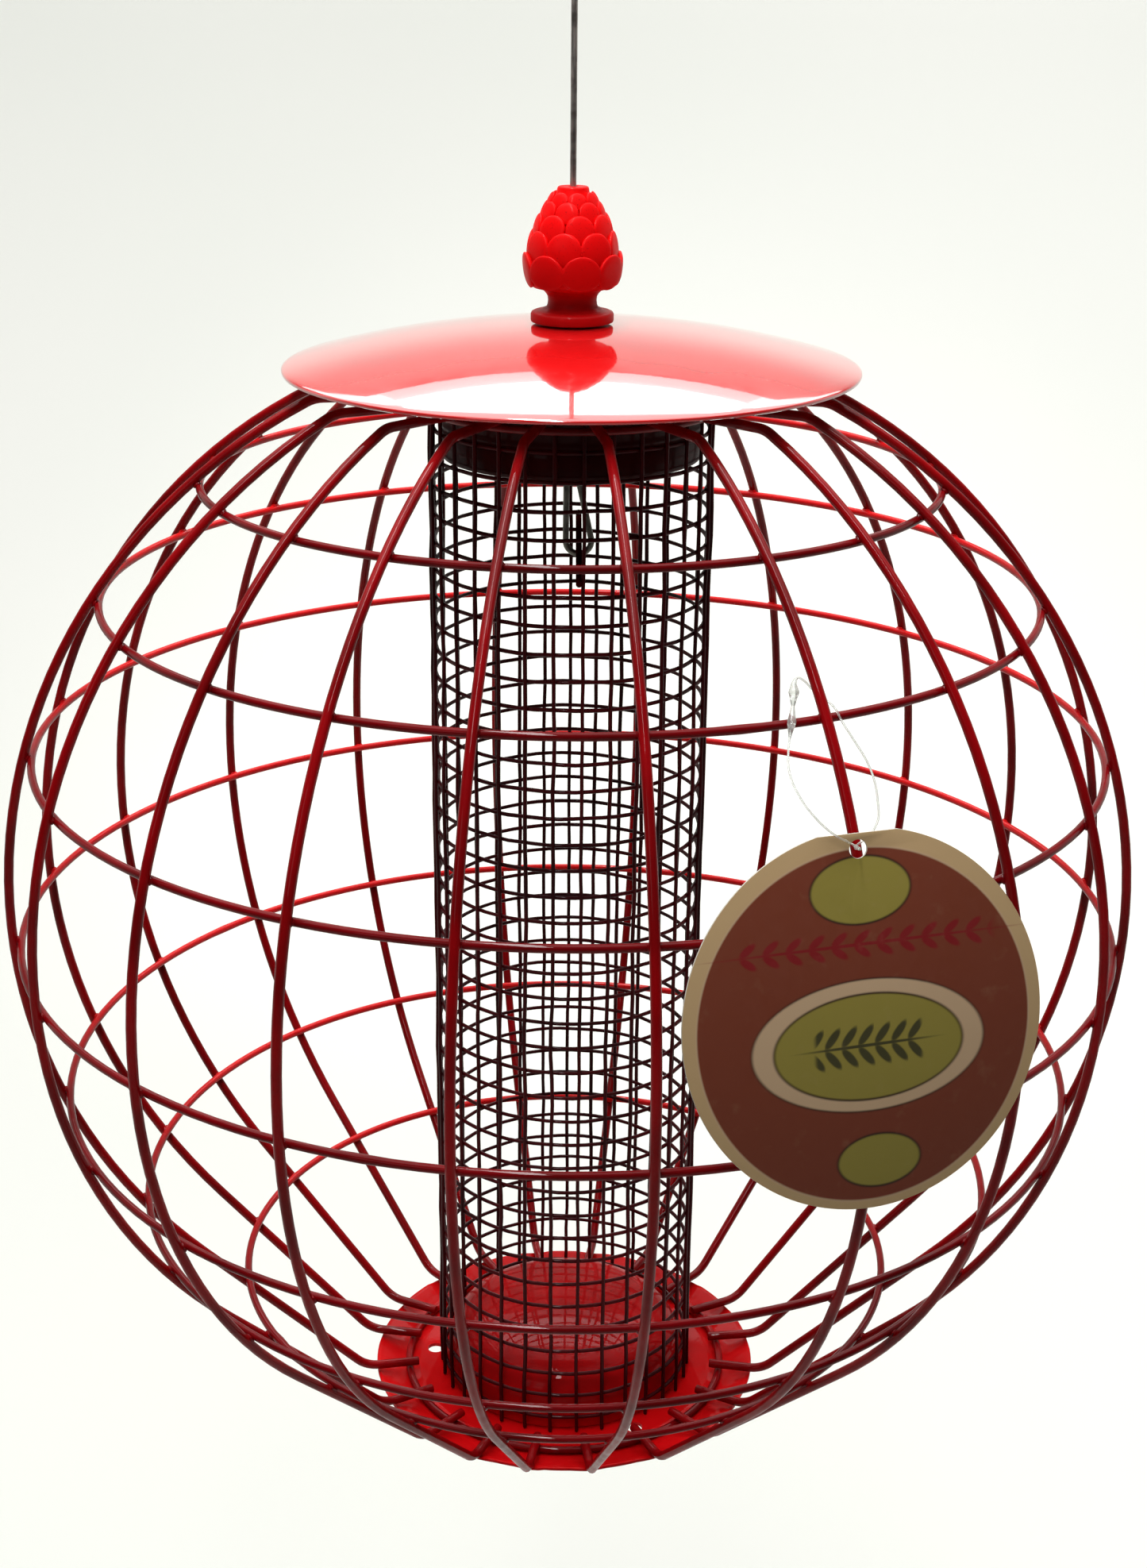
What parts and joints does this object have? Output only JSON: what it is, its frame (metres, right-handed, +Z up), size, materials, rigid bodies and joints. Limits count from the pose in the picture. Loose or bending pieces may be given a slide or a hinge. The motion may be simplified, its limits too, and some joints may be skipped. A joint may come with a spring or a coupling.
{
  "type": "caged peanut feeder",
  "caption": "Hanging peanut feeder: a wire mesh tube inside a globe cage, with a lid that slides up its cable, a dished base plate, a cone finial and a hang tag.",
  "frame": {"origin": "the point of the upper cable eye where a hook bears, which holds the whole feeder", "axes": "+Z up along the cable, -Y towards the front as pictured, +X to the right of the front"},
  "size_m": [0.2605, 0.2613, 0.3625],
  "materials": {
    "rib_paint": "glossy red powder coat",
    "ring_paint": "glossy red powder coat",
    "plate_paint": "glossy red powder coat",
    "lid_paint": "very glossy red powder coat",
    "finial_paint": "glossy red powder coat",
    "mesh_paint": "dark red satin coat",
    "plug_paint": "dark red satin coat",
    "cable_steel": "twisted steel strand",
    "ferrule_metal": "pressed sleeve",
    "hardware": "zinc plated",
    "tag_card": "printed card",
    "clear_tie": "clear plastic"
  },
  "bodies": {
    "cage": {"cage_rib_01": "rib_paint", "cage_rib_02": "rib_paint", "cage_rib_03": "rib_paint", "cage_rib_04": "rib_paint", "cage_rib_05": "rib_paint", "cage_rib_06": "rib_paint", "cage_rib_07": "rib_paint", "cage_rib_08": "rib_paint", "cage_rib_09": "rib_paint", "cage_rib_10": "rib_paint", "cage_rib_11": "rib_paint", "cage_rib_12": "rib_paint", "cage_rib_13": "rib_paint", "cage_rib_14": "rib_paint", "cage_rib_15": "rib_paint", "cage_rib_16": "rib_paint", "cage_rib_17": "rib_paint", "cage_rib_18": "rib_paint", "cage_rib_19": "rib_paint", "cage_rib_20": "rib_paint", "cage_ring_1": "ring_paint", "cage_ring_2": "ring_paint", "cage_ring_3": "ring_paint", "cage_ring_4": "ring_paint", "cage_ring_5": "ring_paint", "cage_ring_6": "ring_paint", "cage_ring_7": "ring_paint", "cage_foot_ring": "ring_paint", "cage_mouth_ring": "ring_paint", "base_plate": "plate_paint", "foot_dome": "plate_paint", "mesh_tube": "mesh_paint", "hanger_crossbar": "mesh_paint", "lower_eye": "cable_steel", "lower_ferrule": "ferrule_metal", "cable": "cable_steel", "top_ferrule": "ferrule_metal", "hanging_eye": "cable_steel"},
    "lid": {"lid": "lid_paint", "lid_plug": "plug_paint", "finial": "finial_paint", "lid_nipple": "hardware", "lid_washer": "hardware", "lid_nut": "hardware"},
    "tie": {"tag_tie": "clear_tie"},
    "tag": {"hang_tag": "tag_card"}
  },
  "joints": [
    {"name": "lid_slide", "type": "slide", "parent": "cage", "child": "lid", "axis": [0, 0, 1], "range_m": [0, 0.0405]},
    {"name": "tag_swing", "type": "hinge", "parent": "cage", "child": "tie", "pos_m": [0.04778, -0.09451, -0.14858], "axis": [-0.8924, -0.4512, 0], "range_deg": [0, 60]},
    {"name": "tag_rock", "type": "hinge", "parent": "tie", "child": "tag", "pos_m": [0.05396, -0.11075, -0.17208], "axis": [0.2882, -0.9312, 0.2233], "range_deg": [-25, 25]}
  ]
}
